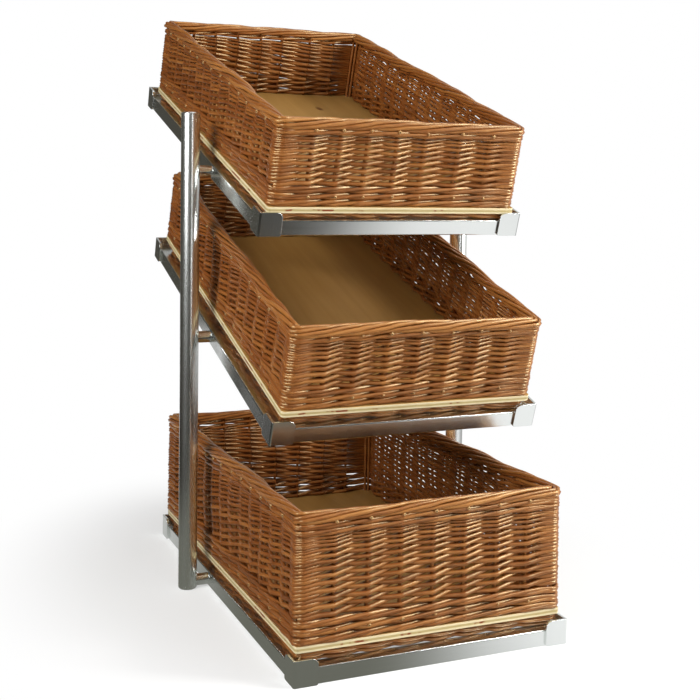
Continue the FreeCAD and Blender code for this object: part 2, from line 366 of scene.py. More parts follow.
# the ring that all the willow of a basket follows
ring = {
    # points from one stake to the next, and where they are in that gap: close to the stakes,
    # where rods kink
    "steps": 8,
    "shares": [0, 0.075, 0.22, 0.36, 0.5, 0.64, 0.78, 0.925],
    "cornerFacet": 2.2,       # mm from the middle of a corner's flat to either of its two stakes
    "cornerShares": [0.0, 0.6, 1.0],    # the points in that stretch; the last one is the bend
    "cornerCrisp": 1.8,       # mm from a bend to the next point, which keeps the bend crisp
    "cornerGap": 38.5,        # mm from the middle of a flat to the next stake
    "cornerFall": 0.8,        # gaps past a corner's flat after which the rods are all in turn again
    "cornerHold": 3.5,        # gaps from a corner in which it holds the rods in line
    "cornerProud": 1.6,       # mm that a corner stands out past the lines of the sides
    "proudFall": 2.5,         # gaps past the flat after which nothing stands out
}


def fall(spans, reach):
    # from 1 smoothly down to 0 at that reach
    return (1 + math.cos(math.pi * min(spans / reach, 1))) / 2


def ringSide(length, spacings):
    # along one side, how far each point is from the middle of the corner's flat
    steps, facet, gap = ring["steps"], ring["cornerFacet"], ring["cornerGap"]
    whole = length - 2 * facet * math.sqrt(2) + 2 * facet
    crisp = facet + ring["cornerCrisp"]
    nearEnd = [facet * part for part in ring["cornerShares"]]
    nearEnd += [crisp + (gap - crisp) * step / (steps - 3) for step in range(steps - 2)]
    share = (whole - 2 * gap) / sum(spacings)
    away, places = gap, nearEnd[:-1]
    for spacing in spacings:
        places += [away + spacing * share * part for part in ring["shares"]]
        away += spacing * share
    return whole, places + [whole - place for place in nearEnd[:0:-1]]


def makeRing(name, basket):
    # one vertex for each step along the stakes; a corner is cut flat, with a stake at either bend.
    # outward: which way is out; post: 1 where a stake stands; corner: 1 on a corner's flat, where
    # every rod passes outside; held: how firmly the corner keeps the rods in line
    steps, facet, bendIndex = ring["steps"], ring["cornerFacet"], len(ring["cornerShares"]) - 1
    cut = facet * math.sqrt(2)
    width, depth = basket["width"], basket["depth"]
    ends, flanks = basket["endSpacings"], basket["sideSpacings"]
    x, y = width / 2, depth / 2
    sides = [
        (Vector((-x, -y, 0)), 0, width, ends), (Vector((x, -y, 0)), 90, depth, flanks),
        (Vector((x, y, 0)), 180, width, ends[::-1]), (Vector((-x, y, 0)), 270, depth, flanks[::-1]),
    ]
    points, outward = [], []
    values = {"corner": [], "held": [], "post": []}
    for start, turn, length, spacings in sides:
        whole, places = ringSide(length, spacings)
        angle = math.radians(turn)
        along = Vector((math.cos(angle), math.sin(angle), 0))
        for index, away in enumerate(places):
            fromCorner = min(index, len(places) - index)
            out = Vector((along.y, -along.x, 0))
            sign = 1 if away < whole / 2 else -1
            if fromCorner >= bendIndex:
                place = start + along * (away - facet + cut)
            if fromCorner <= bendIndex:
                flatTurn = angle - sign * math.radians(45)
                flatAlong = Vector((math.cos(flatTurn), math.sin(flatTurn), 0))
                bend = start + along * (cut if sign > 0 else length - cut)
                place = bend - flatAlong * sign * (facet - min(away, whole - away))
                flatOut = Vector((flatAlong.y, -flatAlong.x, 0))
                atBend = fromCorner == bendIndex
                out = (out + flatOut) / (1 + out.dot(flatOut)) if atBend else flatOut
            pastFlat = max(fromCorner - bendIndex, 0) / steps
            proud = ring["cornerProud"] * fall(pastFlat, ring["proudFall"])
            points.append((place + out * proud + Vector((0, basket["middleY"], 0))) * mm)
            outward.append(out)
            values["corner"].append(fall(pastFlat, ring["cornerFall"]))
            values["held"].append(fall(fromCorner / steps, ring["cornerHold"]))
            isStake = fromCorner == bendIndex or (index % steps == 0 and index > 0)
            values["post"].append(1 if isStake else 0)
    mesh = bpy.data.meshes.new(name)
    mesh.from_pydata(points, [], [])
    kept = mesh.attributes.new("outward", "FLOAT_VECTOR", "POINT")
    kept.data.foreach_set("vector", [value for out in outward for value in out])
    for label, numbers in values.items():
        mesh.attributes.new(label, "FLOAT", "POINT").data.foreach_set("value", numbers)
    return mesh, len(points) // steps


# inputs that all the trees have; a Length is given in mm
handSockets = [
    ("Board Top", "Length", 37.0), ("Hand Play", "Length", 6.0), ("Seed", "Int", 1),
    ("Material", "Material", None),
]


def startTree(name, sockets):
    # an empty tree with a ring coming in, named inputs, and the laid rods going out
    tree = bpy.data.node_groups.new(name, "GeometryNodeTree")
    tree.interface.new_socket("Ring", in_out="INPUT", socket_type="NodeSocketGeometry")
    for label, kind, default in sockets + handSockets:
        isLength = kind == "Length"
        socket = tree.interface.new_socket(
            label, in_out="INPUT", socket_type="NodeSocket" + ("Float" if isLength else kind))
        if isLength:
            socket.subtype = "DISTANCE"
        if default is not None:
            socket.default_value = default * mm if isLength else default
    tree.interface.new_socket("Rods", in_out="OUTPUT", socket_type="NodeSocketGeometry")
    add = partial(addNode, tree)
    return tree, add, add("NodeGroupInput").outputs


def laySteps(add, given):
    # a run of points for every stroke: which stake it starts at, its row, how far along it is,
    # and the ring's place there
    stakes, perStake = given["Stakes"], given["Steps Per Stake"]
    perStroke = add("FunctionNodeIntegerMath", {0: given["Stakes Per Stroke"], 1: perStake, 2: 1},
                    operation="MULTIPLY_ADD")
    strokes = add("FunctionNodeIntegerMath", {0: stakes, 1: given["Rows"]}, operation="MULTIPLY")
    count = add("FunctionNodeIntegerMath", {0: strokes, 1: perStroke}, operation="MULTIPLY")
    points = add("GeometryNodePoints", {"Count": count})
    index = add("GeometryNodeInputIndex")
    stroke = add("FunctionNodeIntegerMath", {0: index, 1: perStroke}, operation="DIVIDE_FLOOR")
    step = add("FunctionNodeIntegerMath", {0: index, 1: perStroke}, operation="MODULO")
    stake = add("FunctionNodeIntegerMath", {0: stroke, 1: stakes}, operation="MODULO")
    row = add("FunctionNodeIntegerMath", {0: stroke, 1: stakes}, operation="DIVIDE_FLOOR")
    around = add("FunctionNodeIntegerMath", {0: stakes, 1: perStake}, operation="MULTIPLY")
    onRing = add("FunctionNodeIntegerMath", {0: stake, 1: perStake, 2: step},
                 operation="MULTIPLY_ADD")
    onRing = add("FunctionNodeIntegerMath", {0: onRing, 1: around}, operation="MODULO")
    last = add("FunctionNodeIntegerMath", {0: perStroke, 1: 1}, operation="SUBTRACT")
    phase = add("ShaderNodeMath", {0: step, 1: last}, operation="DIVIDE")
    laid = {"points": points, "stroke": stroke, "stake": stake, "row": row, "phase": phase}
    place = add("GeometryNodeInputPosition")
    laid["place"] = add("GeometryNodeSampleIndex", {
        0: given["Ring"], "Value": place, "Index": onRing}, data_type="FLOAT_VECTOR")
    for name, kind in (("outward", "FLOAT_VECTOR"), ("corner", "FLOAT"), ("held", "FLOAT")):
        value = add("GeometryNodeInputNamedAttribute", {"Name": name}, data_type=kind)
        laid[name] = add("GeometryNodeSampleIndex", {
            0: given["Ring"], "Value": value, "Index": onRing}, data_type=kind)
    return laid


def rodsFromPoints(add, given, laid, place, radius, rodNumber, along, tones=(0.0, 1.0)):
    # joins each stroke's points to a curve, wraps a rod round it and shifts it all by the same
    # slow wander, so that neighbours stay side by side as they do in work done by hand
    rods = add("GeometryNodeSetPosition", {0: laid["points"], "Position": place})
    tone = add("FunctionNodeRandomValue", {
        2: tones[0], 3: tones[1], 7: rodNumber, 8: given["Seed"]}, data_type="FLOAT")
    carried = {"rodTone": tone, "rodAlong": along, "rodRadius": radius, "held": laid["held"]}
    for name, value in carried.items():
        rods = add("GeometryNodeStoreNamedAttribute", {0: rods, "Name": name, "Value": value},
                   data_type="FLOAT", domain="POINT")
    order = add("GeometryNodeInputIndex")
    curves = add("GeometryNodePointsToCurves", {0: rods, 1: laid["stroke"], 2: order})
    skinRods(add, given, curves)


def skinRods(add, given, curves):
    profile = add("GeometryNodeCurvePrimitiveCircle", {
        "Resolution": given["Sides"], "Radius": 1.0})
    place = add("GeometryNodeInputPosition")
    profile = add("GeometryNodeStoreNamedAttribute", {
        0: profile, "Name": "rodSide", "Value": place}, data_type="FLOAT_VECTOR", domain="POINT")
    radius = add("GeometryNodeInputNamedAttribute", {"Name": "rodRadius"}, data_type="FLOAT")
    skin = add("GeometryNodeCurveToMesh", {
        0: curves, 1: profile, "Scale": radius, "Fill Caps": True})
    # across and along the rod, in metres, for the grain
    side = add("GeometryNodeInputNamedAttribute", {"Name": "rodSide"}, data_type="FLOAT_VECTOR")
    side = add("ShaderNodeVectorMath", {0: side, "Scale": radius}, operation="SCALE")
    side = add("ShaderNodeSeparateXYZ", {0: side}).outputs
    along = add("GeometryNodeInputNamedAttribute", {"Name": "rodAlong"}, data_type="FLOAT")
    grain = add("ShaderNodeCombineXYZ", {0: along, 1: side["X"], 2: side["Y"]})
    skin = add("GeometryNodeStoreNamedAttribute", {0: skin, "Name": "rodGrain", "Value": grain},
               data_type="FLOAT_VECTOR", domain="POINT")
    wander(add, given, skin)


# how far the whole weave wanders out of line, as work done by hand does
handwork = {
    "waves": 11.0,            # to a metre
    "calm": 45.0,             # mm above the board in which the wander grows to its full size
    "cornerCalm": 0.85,       # share of it that a corner takes away
}


def wander(add, given, rods):
    place = add("GeometryNodeInputPosition")
    noise = add("ShaderNodeTexNoise", {"Vector": place, "Scale": handwork["waves"], "Detail": 1.0})
    centred = add("ShaderNodeVectorMath", {0: noise.outputs["Color"], 1: (0.5, 0.5, 0.5)},
                  operation="SUBTRACT")
    height = add("ShaderNodeSeparateXYZ", {0: place}).outputs["Z"]
    calmTop = add("ShaderNodeMath", {0: given["Board Top"], 1: handwork["calm"] * mm},
                  operation="ADD")
    grow = add("ShaderNodeMapRange", {
        "Value": height, "From Min": given["Board Top"], "From Max": calmTop},
        interpolation_type="SMOOTHSTEP")
    held = add("GeometryNodeInputNamedAttribute", {"Name": "held"}, data_type="FLOAT")
    loose = add("ShaderNodeMath", {0: held, 1: -handwork["cornerCalm"], 2: 1.0},
                operation="MULTIPLY_ADD")
    amount = add("ShaderNodeMath", {0: grow, 1: given["Hand Play"]}, operation="MULTIPLY")
    amount = add("ShaderNodeMath", {0: amount, 1: loose}, operation="MULTIPLY")
    shift = add("ShaderNodeVectorMath", {0: centred, "Scale": amount}, operation="SCALE")
    moved = add("GeometryNodeSetPosition", {0: rods, "Offset": shift})
    smooth = add("GeometryNodeSetShadeSmooth", {0: moved})
    real = add("GeometryNodeRealizeInstances", {0: smooth})
    dressed = add("GeometryNodeSetMaterial", {0: real, "Material": given["Material"]})
    add("NodeGroupOutput", {0: dressed})


# how single rods differ, in the weave and in the rolled border
rodChance = {
    "weaveThickness": 0.1,    # share by which a rod is thicker or thinner
    "borderThickness": 0.12,
    "thicknessSeed": 7,
    "stakeGap": 40.0,         # mm of grain along a rod from one stake to the next
    "grainStart": 0.73,       # m along the grain from one rod to the next, so that none look alike
    "borderTurn": 5.0,        # degrees by which a rod of the border starts early or late
    "borderPaintedLightTones": (0.4, 1.5),    # the border is paler than the weave, whose tones are 0 to 1: painted light on the rim's top, and the stakes are darker: painted shade where they stand deep behind the rods
    "stakePaintedShadeTones": (0.0, 0.7),     # and the stakes are darker
    "endTones": (0.2, 0.9),
    "endAims": ((-0.25, -0.25, -0.2), (0.25, 0.25, 0.3)),    # how far a cut end looks askew
}

weaveSockets = [
    ("Stakes", "Int", 44), ("Rows", "Int", 9), ("Steps Per Stake", "Int", 8),
    ("Stakes Per Stroke", "Int", 2), ("Reach", "Length", 5.0), ("Stand Off", "Length", 0.0),
    ("Lean", "Length", 0.0), ("Start Height", "Length", 0.0), ("First Rise", "Length", 8.0),
    ("Last Rise", "Length", 4.0), ("Climb", "Float", 1.0), ("Dip", "Float", 0.0),
    ("Swing", "Length", 0.0), ("Sharpness", "Float", 0.0), ("Butt Radius", "Length", 2.1),
    ("Tip Radius", "Length", 1.5), ("Uneven", "Length", 0.3), ("Sides", "Int", 6),
]


def makeWeaveTree():
    # strokes that pass in front of their stakes and behind the next, row on row
    tree, add, given = startTree("wovenRods", weaveSockets)
    laid = laySteps(add, given)
    phase, row, stroke = laid["phase"], laid["row"], laid["stroke"]
    climb, perStroke = given["Climb"], given["Stakes Per Stroke"]
    back = add("ShaderNodeMath", {0: 1.0, 1: phase}, operation="SUBTRACT")
    fromEnd = add("ShaderNodeMath", {0: phase, 1: back}, operation="MINIMUM")
    stakesOff = add("ShaderNodeMath", {0: fromEnd, 1: perStroke}, operation="MULTIPLY",
                    use_clamp=True)
    turn = add("ShaderNodeMath", {0: stakesOff, 1: math.pi}, operation="MULTIPLY")
    turn = add("ShaderNodeMath", {0: turn}, operation="COSINE")
    zigzag = add("ShaderNodeMath", {0: stakesOff, 1: -2.0, 2: 1.0}, operation="MULTIPLY_ADD")
    inOut = add("ShaderNodeMix", {0: given["Sharpness"], 2: turn, 3: zigzag})
    # round a corner every rod passes outside, and they lie evenly on each other
    straight = add("ShaderNodeMath", {0: 1.0, 1: laid["corner"]}, operation="SUBTRACT")
    dip = add("ShaderNodeMath", {0: inOut, 1: straight}, operation="MULTIPLY")
    inOut = add("ShaderNodeMath", {0: inOut, 1: -1.0}, operation="MULTIPLY")
    inOut = add("ShaderNodeMix", {0: laid["corner"], 2: inOut, 3: 1.0})
    uneven = add("FunctionNodeRandomValue", {2: -1.0, 3: 1.0, 7: stroke, 8: given["Seed"]},
                 data_type="FLOAT")
    bulge = add("ShaderNodeMath", {0: fromEnd, 1: uneven}, operation="MULTIPLY")
    bulge = add("ShaderNodeMath", {0: bulge, 1: given["Uneven"]}, operation="MULTIPLY")
    stand = add("ShaderNodeMath", {0: row, 1: given["Lean"], 2: given["Stand Off"]},
                operation="MULTIPLY_ADD")
    stand = add("ShaderNodeMath", {0: stand, 1: bulge}, operation="ADD")
    reach = add("ShaderNodeMath", {0: inOut, 1: given["Reach"], 2: stand},
                operation="MULTIPLY_ADD")
    # height: rows get closer together as the rods thin out, from the first rise to the last,
    # by the square of their share of the way, which adds up to a third of its cube
    level = add("ShaderNodeMath", {0: climb, 1: phase, 2: row}, operation="MULTIPLY_ADD")
    level = add("ShaderNodeMath", {0: dip, 1: given["Dip"], 2: level}, operation="MULTIPLY_ADD")
    share = add("ShaderNodeMath", {0: level, 1: given["Rows"]}, operation="DIVIDE")
    thinned = add("ShaderNodeMath", {0: share, 1: share}, operation="MULTIPLY")
    closer = add("ShaderNodeMath", {0: level, 1: thinned}, operation="MULTIPLY")
    closer = add("ShaderNodeMath", {0: closer, 1: 3.0}, operation="DIVIDE")
    closing = add("ShaderNodeMath", {0: given["Last Rise"], 1: given["First Rise"]},
                  operation="SUBTRACT")
    height = add("ShaderNodeMath", {0: level, 1: given["First Rise"], 2: given["Start Height"]},
                 operation="MULTIPLY_ADD")
    height = add("ShaderNodeMath", {0: closer, 1: closing, 2: height}, operation="MULTIPLY_ADD")
    angle = add("ShaderNodeMath", {0: phase, 1: 2 * math.pi}, operation="MULTIPLY")
    swing = add("ShaderNodeMath", {0: angle}, operation="SINE")
    swing = add("ShaderNodeMath", {0: swing, 1: given["Swing"]}, operation="MULTIPLY")
    height = add("ShaderNodeMath", {0: height, 1: swing}, operation="SUBTRACT")
    height = add("ShaderNodeMath", {0: bulge, 1: 2.0, 2: height}, operation="MULTIPLY_ADD")
    away = add("ShaderNodeVectorMath", {0: laid["outward"], "Scale": reach}, operation="SCALE")
    up = add("ShaderNodeCombineXYZ", {2: height})
    place = add("ShaderNodeVectorMath", {0: laid["place"], 1: away}, operation="ADD")
    place = add("ShaderNodeVectorMath", {0: place, 1: up}, operation="ADD")
    # a rod goes on from stroke to stroke: one number and one taper for all of it
    passed = add("ShaderNodeMath", {0: row, 1: perStroke}, operation="MULTIPLY")
    passed = add("ShaderNodeMath", {0: passed, 1: climb}, operation="MULTIPLY")
    number = add("ShaderNodeMath", {0: laid["stake"], 1: passed}, operation="SUBTRACT")
    number = add("ShaderNodeMath", {0: number, 1: given["Stakes"]}, operation="FLOORED_MODULO")
    apart = add("ShaderNodeMath", {0: 1.0, 1: climb}, operation="SUBTRACT")
    apart = add("ShaderNodeMath", {0: apart, 1: stroke}, operation="MULTIPLY")
    number = add("ShaderNodeMath", {0: number, 1: apart}, operation="ADD")
    radius = add("ShaderNodeMix", {0: thinned, 2: given["Butt Radius"], 3: given["Tip Radius"]})
    spread = rodChance["weaveThickness"]
    thick = add("FunctionNodeRandomValue", {
        2: 1 - spread, 3: 1 + spread, 7: number, 8: rodChance["thicknessSeed"]},
        data_type="FLOAT")
    radius = add("ShaderNodeMath", {0: radius, 1: thick}, operation="MULTIPLY")
    along = add("ShaderNodeMath", {0: phase, 1: row}, operation="ADD")
    along = add("ShaderNodeMath", {0: along, 1: perStroke}, operation="MULTIPLY")
    along = add("ShaderNodeMath", {0: along, 1: rodChance["stakeGap"] * mm}, operation="MULTIPLY")
    along = add("ShaderNodeMath", {0: number, 1: rodChance["grainStart"], 2: along},
                operation="MULTIPLY_ADD")
    rodsFromPoints(add, given, laid, place, radius, number, along)
    return tree


borderSockets = [
    ("Stakes", "Int", 44), ("Rows", "Int", 1), ("Steps Per Stake", "Int", 8),
    ("Stakes Per Stroke", "Int", 6), ("Half Width", "Length", 6.2), ("Half Height", "Length", 5.1),
    ("Middle Height", "Length", 139.0), ("Start Turn", "Float", -80.0),
    ("Whole Turn", "Float", 320.0), ("Butt Radius", "Length", 2.7), ("Tip Radius", "Length", 2.2),
    ("Uneven", "Length", 0.6), ("Sides", "Int", 6),
]


def makeBorderTree():
    # each rod rolls from the outside over the top and in, lying beside the ones before it
    tree, add, given = startTree("rolledBorder", borderSockets)
    laid = laySteps(add, given)
    phase, stroke = laid["phase"], laid["stroke"]
    uneven = add("FunctionNodeRandomValue", {2: -1.0, 3: 1.0, 7: stroke, 8: given["Seed"]},
                 data_type="FLOAT")
    turn = add("ShaderNodeMath", {0: phase, 1: given["Whole Turn"], 2: given["Start Turn"]},
               operation="MULTIPLY_ADD")
    turn = add("ShaderNodeMath", {0: uneven, 1: rodChance["borderTurn"], 2: turn},
               operation="MULTIPLY_ADD")
    turn = add("ShaderNodeMath", {0: turn}, operation="RADIANS")
    cosine = add("ShaderNodeMath", {0: turn}, operation="COSINE")
    sine = add("ShaderNodeMath", {0: turn}, operation="SINE")
    # a rod is even where it starts, and as uneven as it gets from a third of its way on
    bulge = add("ShaderNodeMath", {0: phase, 1: 3.0}, operation="MULTIPLY", use_clamp=True)
    bulge = add("ShaderNodeMath", {0: bulge, 1: uneven}, operation="MULTIPLY")
    wide = add("ShaderNodeMath", {0: bulge, 1: given["Uneven"], 2: given["Half Width"]},
               operation="MULTIPLY_ADD")
    high = add("ShaderNodeMath", {0: bulge, 1: given["Uneven"], 2: given["Half Height"]},
               operation="MULTIPLY_ADD")
    reach = add("ShaderNodeMath", {0: cosine, 1: wide}, operation="MULTIPLY")
    height = add("ShaderNodeMath", {0: sine, 1: high, 2: given["Middle Height"]},
                 operation="MULTIPLY_ADD")
    away = add("ShaderNodeVectorMath", {0: laid["outward"], "Scale": reach}, operation="SCALE")
    up = add("ShaderNodeCombineXYZ", {2: height})
    place = add("ShaderNodeVectorMath", {0: laid["place"], 1: away}, operation="ADD")
    place = add("ShaderNodeVectorMath", {0: place, 1: up}, operation="ADD")
    radius = add("ShaderNodeMix", {0: phase, 2: given["Butt Radius"], 3: given["Tip Radius"]})
    spread = rodChance["borderThickness"]
    thick = add("FunctionNodeRandomValue", {
        2: 1 - spread, 3: 1 + spread, 7: stroke, 8: rodChance["thicknessSeed"]},
        data_type="FLOAT")
    radius = add("ShaderNodeMath", {0: radius, 1: thick}, operation="MULTIPLY")
    along = add("ShaderNodeMath", {0: phase, 1: given["Stakes Per Stroke"]}, operation="MULTIPLY")
    along = add("ShaderNodeMath", {0: along, 1: rodChance["stakeGap"] * mm}, operation="MULTIPLY")
    along = add("ShaderNodeMath", {0: stroke, 1: rodChance["grainStart"], 2: along},
                operation="MULTIPLY_ADD")
    # the border's paler tones are painted light, for the light that falls on the rim's top
    rodsFromPoints(add, given, laid, place, radius, stroke, along, rodChance["borderPaintedLightTones"])
    return tree


stakeSockets = [
    ("Foot Height", "Length", 30.0), ("Top Height", "Length", 140.0), ("Radius", "Length", 2.4),
    ("Points", "Int", 14), ("Sides", "Int", 8),
]


def makeStakeTree():
    # an upright rod wherever the ring says that a stake stands
    tree, add, given = startTree("uprightStakes", stakeSockets)
    foot = add("ShaderNodeCombineXYZ", {2: given["Foot Height"]})
    top = add("ShaderNodeCombineXYZ", {2: given["Top Height"]})
    line = add("GeometryNodeCurvePrimitiveLine", {"Start": foot, "End": top})
    line = add("GeometryNodeResampleCurve", {0: line, "Count": given["Points"]})
    length = add("GeometryNodeSplineParameter").outputs["Length"]
    for name, value in {"rodAlong": length, "rodRadius": given["Radius"]}.items():
        line = add("GeometryNodeStoreNamedAttribute", {0: line, "Name": name, "Value": value},
                   data_type="FLOAT", domain="POINT")
    post = add("GeometryNodeInputNamedAttribute", {"Name": "post"}, data_type="FLOAT")
    stands = add("FunctionNodeCompare", {0: post, 1: 0.5}, data_type="FLOAT",
                 operation="GREATER_THAN")
    spots = add("GeometryNodeMeshToPoints", {0: given["Ring"], "Selection": stands})
    posts = add("GeometryNodeInstanceOnPoints", {0: spots, "Instance": line})
    # the stakes' darker tones are painted shade, for where they stand deep behind the rods
    darkest, lightest = rodChance["stakePaintedShadeTones"]
    tone = add("FunctionNodeRandomValue", {2: darkest, 3: lightest, 8: given["Seed"]},
               data_type="FLOAT")
    posts = add("GeometryNodeStoreNamedAttribute", {0: posts, "Name": "rodTone", "Value": tone},
                data_type="FLOAT", domain="INSTANCE")
    posts = add("GeometryNodeRealizeInstances", {0: posts})
    skinRods(add, given, posts)
    return tree


endSockets = [
    ("Height", "Length", 130.0), ("Reach", "Length", 4.5), ("Radius", "Length", 2.1),
    ("Length", "Length", 8.0), ("Lean", "Float", 0.35), ("Sides", "Int", 8),
]


def makeEndTree():
    # the cut ends that poke out beside each stake
    tree, add, given = startTree("cutEnds", endSockets)
    stub = add("GeometryNodeMeshCylinder", {
        "Vertices": given["Sides"], "Side Segments": 1, "Fill Segments": 1,
        "Radius": given["Radius"], "Depth": given["Length"]}, fill_type="NGON").outputs
    cut = add("GeometryNodeStoreNamedAttribute", {
        0: stub["Mesh"], "Name": "cutEnd", "Value": stub["Top"]}, data_type="FLOAT", domain="FACE")
    place = add("GeometryNodeInputPosition")
    local = add("ShaderNodeSeparateXYZ", {0: place}).outputs
    grain = add("ShaderNodeCombineXYZ", {0: local["Z"], 1: local["X"], 2: local["Y"]})
    cut = add("GeometryNodeStoreNamedAttribute", {0: cut, "Name": "rodGrain", "Value": grain},
              data_type="FLOAT_VECTOR", domain="POINT")
    # one at each stake that isn't on a corner's flat
    post = add("GeometryNodeInputNamedAttribute", {"Name": "post"}, data_type="FLOAT")
    corner = add("GeometryNodeInputNamedAttribute", {"Name": "corner"}, data_type="FLOAT")
    free = add("ShaderNodeMath", {0: post, 1: corner}, operation="SUBTRACT")
    stands = add("FunctionNodeCompare", {0: free, 1: 0.5}, data_type="FLOAT",
                 operation="GREATER_THAN")
    spots = add("GeometryNodeMeshToPoints", {0: given["Ring"], "Selection": stands})
    # it points outwards, leans along the ring, and no two point quite the same way
    out = add("GeometryNodeInputNamedAttribute", {"Name": "outward"}, data_type="FLOAT_VECTOR")
    side = add("ShaderNodeVectorMath", {0: (0, 0, 1), 1: out}, operation="CROSS_PRODUCT")
    lowest, highest = rodChance["endAims"]
    jitter = add("FunctionNodeRandomValue", {0: lowest, 1: highest, 8: given["Seed"]},
                 data_type="FLOAT_VECTOR")
    axis = add("ShaderNodeVectorMath", {0: side, 1: given["Lean"], 2: out},
               operation="MULTIPLY_ADD")
    axis = add("ShaderNodeVectorMath", {0: axis, 1: jitter}, operation="ADD")
    turn = add("FunctionNodeAlignRotationToVector", {"Vector": axis}, axis="Z")
    away = add("ShaderNodeVectorMath", {0: out, "Scale": given["Reach"]}, operation="SCALE")
    up = add("ShaderNodeCombineXYZ", {2: given["Height"]})
    shift = add("ShaderNodeVectorMath", {0: away, 1: up}, operation="ADD")
    spots = add("GeometryNodeSetPosition", {0: spots, "Offset": shift})
    ends = add("GeometryNodeInstanceOnPoints", {0: spots, "Instance": cut, "Rotation": turn})
    darkest, lightest = rodChance["endTones"]
    tone = add("FunctionNodeRandomValue", {2: darkest, 3: lightest, 8: given["Seed"]},
               data_type="FLOAT")
    ends = add("GeometryNodeStoreNamedAttribute", {0: ends, "Name": "rodTone", "Value": tone},
               data_type="FLOAT", domain="INSTANCE")
    ends = add("GeometryNodeRealizeInstances", {0: ends})
    wander(add, given, ends)
    return tree


weaveTree = makeWeaveTree()
borderTree = makeBorderTree()
stakeTree = makeStakeTree()
endTree = makeEndTree()


def layRods(name, mesh, tree, values, matrix):
    # runs a tree on the ring and keeps its result as a plain mesh in the rack's place
    piece = bpy.data.objects.new(name, mesh.copy())
    scene.collection.objects.link(piece)
    modifier = piece.modifiers.new("rods", "NODES")
    modifier.node_group = tree
    for item in tree.interface.items_tree:
        if item.in_out == "INPUT" and item.name in values:
            value = values[item.name]
            isLength = getattr(item, "subtype", "") == "DISTANCE"
            modifier[item.identifier] = value * mm if isLength else value
    evaluated = piece.evaluated_get(bpy.context.evaluated_depsgraph_get())
    laid = bpy.data.meshes.new_from_object(evaluated)
    laid.name = name
    laid.transform(matrix)
    piece.modifiers.clear()
    piece.data = laid
    return piece


# mm; spacings are from stake to stake along an end and a side, without the two next to the
# corners; a knot is placed across and along the board, and lies off a board that has none
baskets = {
    "top": {
        "width": 320, "depth": 558, "middleY": 292.3, "boardTop": 37, "rimFoot": 132,
        "footHeight": 9, "endSpacings": [36.6, 37.4, 40.4, 38, 49.7, 44],
        "sideSpacings": [40, 42, 39, 43, 41, 40, 44, 41, 39, 42, 41, 40],
        "rows": 9, "firstRise": 8.7, "lastRise": 3.2, "waleRise": 8.6, "upperWales": 1,
        "seed": 3, "knot": (73, 480),
    },
    "middle": {
        "width": 318, "depth": 559, "middleY": 292.3, "boardTop": 43, "rimFoot": 135,
        "footHeight": 15, "endSpacings": [40, 41, 42, 41, 40, 41],
        "sideSpacings": [41, 40, 43, 39, 41, 42, 40, 42, 40, 41, 43, 40],
        "rows": 9, "firstRise": 8.4, "lastRise": 3.2, "waleRise": 8.4, "upperWales": 1,
        "seed": 11, "knot": (500, 500),
    },
    "bottom": {
        "width": 333, "depth": 564, "middleY": 300.0, "boardTop": 43, "rimFoot": 181,
        "footHeight": 15, "endSpacings": [42, 41, 42, 40, 43, 41],
        "sideSpacings": [42, 40, 41, 43, 40, 42, 41, 40, 43, 41, 42, 40],
        "rows": 13, "firstRise": 9.4, "lastRise": 3.0, "waleRise": 9.8, "upperWales": 2,
        "seed": 23, "knot": (500, 500),
    },
}

# the rods of a basket, in mm: radius is half a rod's thickness, reach is from the line of the
# stakes to the middle of a rod, passed is how many stakes a stroke goes past, and swing is how
# far a rod rises and sinks on the way
weave = {
    "passed": 2, "climb": 1.0,    # rows that a stroke climbs
    "reach": 5.0, "butt": 2.95, "tip": 1.4,    # radius at a rod's thick end and its thin one
    "dip": 0.18,              # rows that a rod drops before a stake and gains after it
    "sharpness": 0.9,         # 0 bends in a soft wave, 1 kinks at the stakes
    "uneven": 1.0,
    "handPlay": 9.0,
}
lowerWale = {
    "rows": 3, "passed": 3, "radius": 2.7, "thinned": 0.2, "reach": 5.0, "swing": 2.3,
    "standOff": 1.0,          # outwards from the line of the stakes
    "pressed": 0.6,           # how far its first row is pressed on the board
}
upperWale = {
    "passed": 3, "radius": 2.2, "reach": 5.0, "swing": 1.8,
    "pressed": 0.4,           # how far its rows are pressed together
    "intoRim": 1.0,
}
flatRows = {"Climb": 0.0, "Dip": 0.0, "Sharpness": 0.2}    # of the wales and the foot rope
rolledBorder = {
    "height": 14.0, "pressed": 0.4, "passed": 6,
    "halfWidth": 6.2, "halfHeight": 5.1, "startTurn": -80.0, "wholeTurn": 320.0,
    "butt": 2.7, "tip": 2.2, "uneven": 0.6,
}
footRope = {
    "passed": 2, "radius": 2.6, "reach": 2.4, "swing": 1.7,
    "underBoard": 4.4,
    "rise": 6.2,              # from one rope to the one under it, where a foot has two
    "lean": 4.5,              # how far inwards that lower one lies
    "twoFrom": 12.0,          # height of a foot from which it has two
}
stakes = {"radius": 2.2, "intoBoard": 0.4, "intoRim": 6.0}
cutEnds = {
    "upperReach": 4.2, "upperHeight": 0.5,     # over the foot of the rim
    "lowerReach": 4.8, "lowerRows": 1.5,       # rows of the lower wale, down from its top
}

